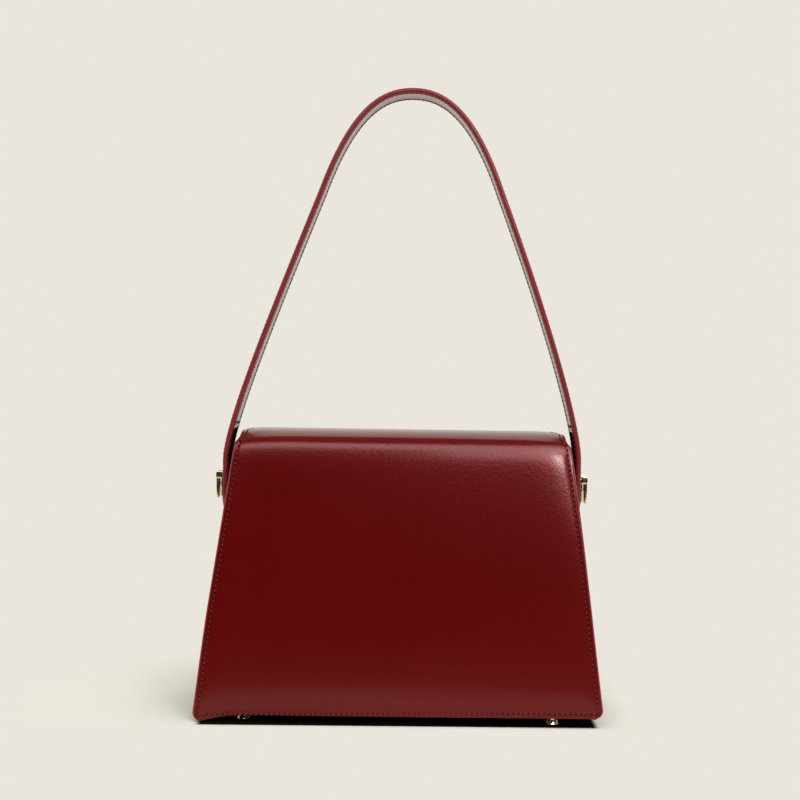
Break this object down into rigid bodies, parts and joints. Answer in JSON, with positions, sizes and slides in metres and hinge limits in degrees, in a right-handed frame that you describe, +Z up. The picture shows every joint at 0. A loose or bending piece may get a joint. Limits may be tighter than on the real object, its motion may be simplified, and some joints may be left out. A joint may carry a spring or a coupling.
{
  "type": "flap shoulder bag",
  "caption": "Structured A-shaped leather shoulder bag with a full front flap on two folds and one arched strap that swings on side clasps.",
  "frame": {"origin": "centre of the bounding box on the plane of the feet's undersides, where the bag stands", "axes": "+X to the right as seen from the front, +Y to the back, +Z up; the flap hangs on the -Y side"},
  "size_m": [0.2692, 0.0899, 0.422],
  "materials": {
    "leather": "burgundy box calf, smooth and glossy, edges turned or painted",
    "lining_leather": "burgundy lining leather, satin",
    "board": "stiffening board, matt",
    "lining_cloth": "dark red twill lining cloth",
    "zip_cloth": "woven zip tape",
    "core_tape": "nylon reinforcing tape",
    "gold": "polished pale gold plating",
    "steel": "nickel plated"
  },
  "bodies": {
    "body": {"front_panel": "leather", "back_panel": "leather", "base_panel": "leather", "gusset_left": "leather", "gusset_right": "leather", "front_board": "board", "back_board": "board", "base_board": "board", "gusset_board_left": "board", "gusset_board_right": "board", "lining": "lining_cloth", "flap_tail": "leather", "body_magnet_left": "steel", "body_magnet_right": "steel", "post_left": "steel", "post_right": "steel", "post_nut_left": "steel", "post_nut_right": "steel", "spacer_left": "lining_leather", "spacer_right": "lining_leather", "foot_front_left": "gold", "foot_front_right": "gold", "foot_rear_left": "gold", "foot_rear_right": "gold", "foot_washer_front_left": "steel", "foot_washer_front_right": "steel", "foot_washer_rear_left": "steel", "foot_washer_rear_right": "steel", "zip_tape": "zip_cloth", "zip_chain": "gold", "zip_pocket_bag": "lining_cloth", "slip_pocket": "lining_cloth"},
    "strap": {"strap_outer": "leather", "strap_core": "core_tape", "strap_lining": "lining_leather", "clasp_plate_left": "gold", "clasp_plate_right": "gold", "clasp_pin_left": "gold", "clasp_pin_right": "gold"},
    "leaf_left": {"clasp_leaf_left": "gold"},
    "leaf_right": {"clasp_leaf_right": "gold"},
    "flap_top": {"flap_top_leather": "leather", "flap_top_board": "board", "flap_top_lining": "lining_leather"},
    "flap_front": {"flap_front_leather": "leather", "flap_front_board": "board", "flap_front_lining": "lining_leather", "flap_magnet_left": "steel", "flap_magnet_right": "steel"},
    "zip_slider": {"zip_slider": "gold"},
    "zip_pull": {"zip_pull": "gold"}
  },
  "joints": [
    {"name": "strap_swing", "type": "hinge", "parent": "body", "child": "strap", "pos_m": [0, 0, 0.154], "axis": [-1, 0, 0], "range_deg": [-60, 75]},
    {"name": "flap_lift", "type": "hinge", "parent": "body", "child": "flap_top", "pos_m": [0, 0.01723, 0.1925], "axis": [-1, 0, 0], "range_deg": [0, 30]},
    {"name": "flap_fold", "type": "hinge", "parent": "flap_top", "child": "flap_front", "pos_m": [0, -0.01541, 0.1925], "axis": [-1, 0, 0], "range_deg": [0, 120]},
    {"name": "leaf_left_swing", "type": "hinge", "parent": "strap", "child": "leaf_left", "pos_m": [-0.12448, 0, 0.1601], "axis": [0, 1, 0], "range_deg": [0, 110]},
    {"name": "leaf_right_swing", "type": "hinge", "parent": "strap", "child": "leaf_right", "pos_m": [0.12448, 0, 0.1601], "axis": [0, -1, 0], "range_deg": [0, 110]},
    {"name": "zip_slide", "type": "slide", "parent": "body", "child": "zip_slider", "axis": [-1, 0, 0], "range_m": [0, 0.129]},
    {"name": "pull_swing", "type": "hinge", "parent": "zip_slider", "child": "zip_pull", "pos_m": [0.0645, 0.0159, 0.1485], "axis": [-1, 0, 0], "range_deg": [0, 100]}
  ]
}
